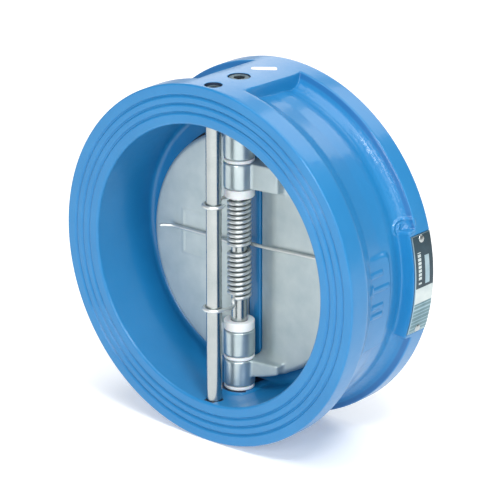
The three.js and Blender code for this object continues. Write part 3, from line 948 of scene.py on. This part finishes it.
def build_plug(name, node, across, side):
    """A screw plug: thread flanks, a chamfered top and a hexagon socket with a conical floor."""
    low, high = box_mm(node)
    y, radius = upright_mm(node)
    foot, top = (low[2], high[2]) if side > 0 else (-high[2], -low[2])
    around = 96
    turn = np.arange(around) * TAU / around
    circle = np.ones(around)
    hexagon = (across / 2) / np.cos((turn % (math.pi / 3)) - math.pi / 6)
    pitch, thread_depth, chamfer = 1.5, 0.55, 0.7
    rings = [(circle * (radius - chamfer), foot), (circle * radius, foot + chamfer)]
    for k in range(int((top - 1.6 - foot - chamfer) / pitch)):
        valley = foot + chamfer + pitch * (k + 0.5)
        rings += [(circle * (radius - thread_depth), valley), (circle * radius, valley + pitch / 2)]
    for inset, drop in ((0, 0.6), (0.15, 0.2), (0.5, 0)):
        rings.append((circle * (radius - inset), top - drop))
    for outset, drop in ((0.45, 0), (0.1, 0.2), (0, 0.5), (0, 4.2)):
        rings.append((hexagon + outset, top - drop))
    for share, drop in ((0.4, 4.6), (0.05, 5.0)):
        rings.append((hexagon * share, top - drop))
    points = []
    for r, z in rings:
        level = np.full(around, side * z)
        points.append(np.stack([r * np.cos(turn), y + r * np.sin(turn), level], -1))
    plug = mesh_object(name, np.concatenate(points), tube_grid(len(rings), around), 30)
    place_piece(plug, "housing", "plug_steel", [node], PLUG_STEEL, SOCKET_SHADE)
    # Faces inside the hexagon socket take the near-black painted shade.
    for face in plug.data.polygons:
        face_x, face_y, face_z = face.center / MM
        inside = math.hypot(face_x, face_y - y) < across * 0.6
        face.material_index = int(inside and top - 6 < abs(face_z) < top - 0.3)


def build_seal_disc(node):
    low, high = box_mm(node)
    y, radius = upright_mm(node)
    edge = 0.4
    profile = [[radius - edge, low[2]], [radius, low[2] + edge], [radius, high[2] - edge],
               [radius - edge, high[2]]]
    disc = lathe(node + "_disc", profile, (0, y, 0), around=48)
    place_piece(disc, "housing", "seat_rubber", [node], RUBBER)


build_pin("hinge_shaft", "hinge_pin")
build_pin("stop_shaft", "stop_pin")
for kind in ("spring_bearing", "plate_lug_bearing", "body_lug_bearing"):
    for level in ("upper", "lower"):
        build_washer(f"{kind}_{level}")
for pin, socket_across in (("hinge_pin", 6.0), ("stop_pin", 5.0)):
    for level, side in (("top", 1), ("bottom", -1)):
        build_plug(f"{pin}_plug_{level}", f"{pin}_retainer_{level}", socket_across, side)
        build_seal_disc(f"{pin}_seal_{level}")

# ------------------ seat seals

SEAL_MIDDLE_X = 36.0
SEAL_STEPS = 240


def seal_outline(radius, edge):
    """The D outline of this radius and straight edge, seen from a point inside it."""
    turns = np.arange(SEAL_STEPS) * TAU / SEAL_STEPS
    dx, dz = np.cos(turns), np.sin(turns)
    to_circle = -SEAL_MIDDLE_X * dx + np.sqrt(radius ** 2 - (SEAL_MIDDLE_X * dz) ** 2)
    to_edge = np.where(dx < -0.05, (SEAL_MIDDLE_X - edge) / np.maximum(-dx, 0.05), 1e3)
    reach = smooth_min(to_circle, to_edge, 4.0)
    return np.stack([SEAL_MIDDLE_X + reach * dx, reach * dz], -1)


def build_seal(side):
    low, high = box_mm("seat_seal_" + side)
    outer = seal_outline(max(abs(low[0]), abs(high[0])), min(abs(low[0]), abs(high[0])))
    inner = seal_outline(SEAT_R + 0.5, POST_HALF - 0.5)
    section = rounded_box_section(0.0, 1.0, 0.0, 1.0, 0.22, 3)
    way = 1 if side == "right" else -1
    points = []
    for outer_point, inner_point in zip(outer, inner):
        for share, rise in section:
            x, z = inner_point + (outer_point - inner_point) * share
            crown = 0.12 * math.sin(math.pi * share) if rise < 0.01 else 0
            points.append([way * x, high[1] - (high[1] - low[1]) * rise + crown, z])
    seal = mesh_object("seat_ring_" + side, points, torus_grid(SEAL_STEPS, len(section)), 50)
    place_piece(seal, "housing", "seat_rubber", ["seat_seal_" + side], RUBBER)


build_seal("right")
build_seal("left")

# ------------------ springs

COIL_R = 6.15
WIRE_R = 1.1
LOOP_R = STOP_R + 1.4
LEG_Y = -WIRE_R - 0.3
STEPS_PER_TURN = 24


def coil(start_deg, turns, start_z, end_z):
    count = round(abs(turns) * STEPS_PER_TURN)
    points = []
    for i in range(count + 1):
        turn = (start_deg + 360 * turns * i / count) * DEG
        height = start_z + (end_z - start_z) * i / count
        points.append([COIL_R * math.cos(turn), HINGE_Y + COIL_R * math.sin(turn), height])
    return points


def hook(start_deg, end_deg, height):
    """A loop round the stop pin."""
    steps = round(abs(end_deg - start_deg) / 360 * STEPS_PER_TURN) + 1
    return [[x, y, height] for x, y in arc_points(0, STOP_Y, LOOP_R, start_deg, end_deg, steps)]


def build_spring(name, points, node):
    """A spring swept as a round wire along a smooth path through the points."""
    spring = sweep(name, smooth_path(points), WIRE_R, 14)
    spring.data.materials.append(SPRING_STEEL)
    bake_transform(spring)
    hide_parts(node)


build_spring("torsion_spring_upper", [
    [53, LEG_Y, 7.9],
    [30, LEG_Y, 6.4],
    [12, LEG_Y - 0.2, 5.2],
    *coil(90, 10.25, 5.2, 34.5),
    [-6.1, -17, 35.1],
    [-6, -25, 35.8],
    *hook(180, 390, 36.2),
], "spring_upper")
build_spring("torsion_spring_lower", [
    [-63, -6, 1.9],
    [-57, LEG_Y - 0.4, 1.9],
    [-50, LEG_Y, 1.9],
    [-30, LEG_Y, 2.3],
    [-12, LEG_Y - 0.2, 1.9],
    *coil(90, -9.472, 1.9, -26.3),
    [0.9, -14.6, -27.7],
    [1.6, -15, -29.6],
    [2.8, -17.6, -30.3],
    [4.8, -24, -29.1],
    *hook(0, -210, -27.5),
], "spring_lower")

# ------------------ nameplate and label


# The strip's finishes, and its printed fields in degrees and along Y
METAL, BLACK, PALE, GREY = range(4)
BLACK_FIELD_DEG = -2.3
PALE_FIELD_DEG = -7.5
DASHES = {"deg": (-1.0, 9.0), "y": (23.6, 26.4)}
WINDOW = {"deg": (-1.5, 7.6), "y": (29.8, 33.6)}

LABEL = {"length": 15.0, "width": 5.5, "corner": 1.6, "deg": 41}


def within(field, deg, y):
    return field["deg"][0] < deg < field["deg"][1] and field["y"][0] < y < field["y"][1]


def strip_finish(deg, y):
    if deg > STRIP["to"] - 0.4 or deg < STRIP["from"] + 0.4 or y < STRIP["front"] + 0.6:
        return METAL
    if deg > BLACK_FIELD_DEG:
        if within(DASHES, deg, y):
            return PALE if int(deg * 2.5) % 3 else BLACK
        return METAL if within(WINDOW, deg, y) else BLACK
    if deg > PALE_FIELD_DEG:
        return PALE
    return GREY if int(deg * 3) % 4 else METAL


def build_strip():
    """The nameplate: a thin sheet bent round the rim, as a grid under and a grid over it."""
    degs = np.arange(STRIP["from"], STRIP["to"] + 0.01, 0.3)
    ys = np.append(np.arange(STRIP["front"], STRIP["back"], 0.4), STRIP["back"])
    rows, cols = len(degs), len(ys)
    under, over, edge = STRIP["r"] - 0.25, STRIP["r"] + 0.45, 0.12
    radius = np.full((2, rows, cols), under)
    radius[1] = over - edge
    radius[1, 1:-1, 1:-1] = over
    turn = degs[:, None] * DEG
    across = np.broadcast_to(ys, radius.shape)
    points = np.stack([radius * np.cos(turn), across, radius * np.sin(turn)], -1)
    half = rows * cols
    faces = []
    finishes = []
    for i in range(rows - 1):
        for j in range(cols - 1):
            a = i * cols + j
            b = a + half
            faces.append([a, a + 1, a + cols + 1, a + cols])
            faces.append([b, b + cols, b + cols + 1, b + 1])
            finishes += [METAL, strip_finish((degs[i] + degs[i + 1]) / 2, (ys[j] + ys[j + 1]) / 2)]
    border = [*range(cols), *range(2 * cols - 1, half, cols)]
    border += [*range(half - 2, half - cols - 1, -1), *range(half - 2 * cols, 0, -cols)]
    for a, b in zip(border, border[1:] + border[:1]):
        faces.append([a, a + half, b + half, b])
        finishes.append(METAL)
    strip = mesh_object("type_strip", points.reshape(-1, 3), faces, 30)
    place_piece(strip, "housing", "nameplate_metal", ["nameplate"],
                STRIP_METAL, STRIP_BLACK, STRIP_PALE, STRIP_GREY)
    strip.data.polygons.foreach_set("material_index", finishes)


def build_rivet(level, deg):
    y = upright_mm("nameplate_rivet_" + level)[0]
    foot = STRIP["r"] - 3.5
    head = STRIP["r"] + 0.4
    profile = [[0.9, foot], [1.0, head], [2.2, head], [2.3, head + 0.1], [2.1, head + 0.4],
               [1.6, head + 0.65], [0.9, head + 0.8], [0.2, head + 0.84]]
    rivet = lathe("strip_rivet_" + level, profile, (0, 0, 0), "x", 40)
    cos, sin = math.cos(deg * DEG), math.sin(deg * DEG)
    spin = np.array([[cos, 0, sin], [0, 1, 0], [-sin, 0, cos]])
    move_points(rivet, lambda points: points @ spin + (0, y, 0))
    place_piece(rivet, "housing", "turned_stainless", ["nameplate_rivet_" + level], PIN_STEEL)


def build_label():
    """A small paper label with round corners, lying on the curved top pad."""
    middle = sum(box_mm("paper_label")) / 2
    corner = LABEL["corner"]
    corner_x, corner_y = LABEL["length"] / 2 - corner, LABEL["width"] / 2 - corner
    outline = []
    for way_x, way_y, start in ((1, 1, 0), (-1, 1, 90), (-1, -1, 180), (1, -1, 270)):
        outline += arc_points(way_x * corner_x, way_y * corner_y, corner, start, start + 90, 7)
    cos, sin = math.cos(LABEL["deg"] * DEG), math.sin(LABEL["deg"] * DEG)
    outline = np.array(outline) @ np.array([[cos, sin], [-sin, cos]])
    under, side, over = 0.03, 0.08, 0.17
    rings = []
    for share, lift in ((0.02, under), (0.5, under), (0.99, under), (1.0, side),
                        (0.99, over), (0.5, over), (0.02, over)):
        x, y = (middle[:2] + outline * share).T
        around = np.arctan2(np.full(len(x), BACK_RIM_R), x)
        z = np.sqrt(outer_radius(around, y) ** 2 - x ** 2) + lift
        rings.append(np.stack([x, y, z], -1))
    label = mesh_object("paper_tag", np.concatenate(rings), tube_grid(len(rings), len(outline)), 50)
    place_piece(label, "housing", "label_paper", ["paper_label"], PAPER)


build_strip()
build_rivet("upper", 13.0)
build_rivet("lower", -16.8)
build_label()

# ------------------ stage, light and camera

# Name, place, point it looks at and width, in metres, and power in watts
LIGHTS = (
    ("overhead", (0.1, -0.3, 1.6), (0, 0, 0), 1.4, 14),
    ("upper_right", (0.83, -0.5, 1.25), (0, 0, 0), 0.34, 8),
    ("front", (0.6, -1.7, 0.75), (0, 0, 0), 0.9, 14),
    ("right", (1.6, -0.8, 0.75), (0, 0, 0), 0.9, 6),
    ("behind", (-0.9, 1.2, 0.65), (0, 0, 0.05), 0.9, 3),
    ("back_top", (0.1, 1.15, 1.15), (0, 0, 0), 0.9, 5),
)
SKY_COLOUR = (0.97, 0.98, 1.0, 1)
SKY_STRENGTH = 0.40
FLOOR_HALF = 6.0
FLOOR_GLOW = 0.24
CAMERA_AZIMUTH = math.radians(40.54)
CAMERA_ELEVATION = math.radians(20.79)
CAMERA_DISTANCE = 2.085
LENS_MM = 256.08
SENSOR_MM = 36
LENS_SHIFT = (0.0045, -0.0020)


def add_to_scene(name, data):
    obj = bpy.data.objects.new(name, data)
    bpy.context.scene.collection.objects.link(obj)
    return obj


def aim(obj, place, target):
    obj.location = place
    obj.rotation_euler = (Vector(target) - Vector(place)).to_track_quat("-Z", "Y").to_euler()


def build_stage():
    mesh = bpy.data.meshes.new("floor")
    level = cad_box[0][2]
    signs = ((-1, -1), (1, -1), (1, 1), (-1, 1))
    corners = [(x * FLOOR_HALF, y * FLOOR_HALF, level) for x, y in signs]
    mesh.from_pydata(corners, [], [(0, 1, 2, 3)])
    floor = add_to_scene("floor", mesh)
    material, nodes, links, shader = new_material("pale_floor")
    speck = noise(nodes, links, object_coords(nodes), 6, 2)
    pale = ramp(nodes, links, speck, [(0.3, (0.90, 0.90, 0.90)), (0.7, (0.93, 0.93, 0.93))])
    links.new(pale, shader.inputs["Base Color"])
    shader.inputs["Roughness"].default_value = 0.9
    shader.inputs["Specular IOR Level"].default_value = 0.1
    shader.inputs["Emission Color"].default_value = (1, 1, 1, 1)
    shader.inputs["Emission Strength"].default_value = FLOOR_GLOW
    mesh.materials.append(material)


def build_light():
    world = bpy.data.worlds.new("studio")
    bpy.context.scene.world = world
    world.use_nodes = True
    sky = world.node_tree.nodes["Background"]
    sky.inputs["Color"].default_value = SKY_COLOUR
    sky.inputs["Strength"].default_value = SKY_STRENGTH
    for name, place, target, width, power in LIGHTS:
        light = bpy.data.lights.new(name, "AREA")
        light.shape = "DISK"
        light.size = width
        light.energy = power
        aim(add_to_scene(name, light), place, target)


def build_camera():
    data = bpy.data.cameras.new("camera")
    data.sensor_width = SENSOR_MM
    data.lens = LENS_MM
    data.shift_x, data.shift_y = LENS_SHIFT
    camera = add_to_scene("camera", data)
    away = Vector((
        math.sin(CAMERA_AZIMUTH) * math.cos(CAMERA_ELEVATION),
        -math.cos(CAMERA_AZIMUTH) * math.cos(CAMERA_ELEVATION),
        math.sin(CAMERA_ELEVATION),
    ))
    aim(camera, CAMERA_DISTANCE * away, (0, 0, 0))
    bpy.context.scene.camera = camera
    bpy.context.scene.view_settings.view_transform = "Standard"


build_stage()
build_light()
build_camera()
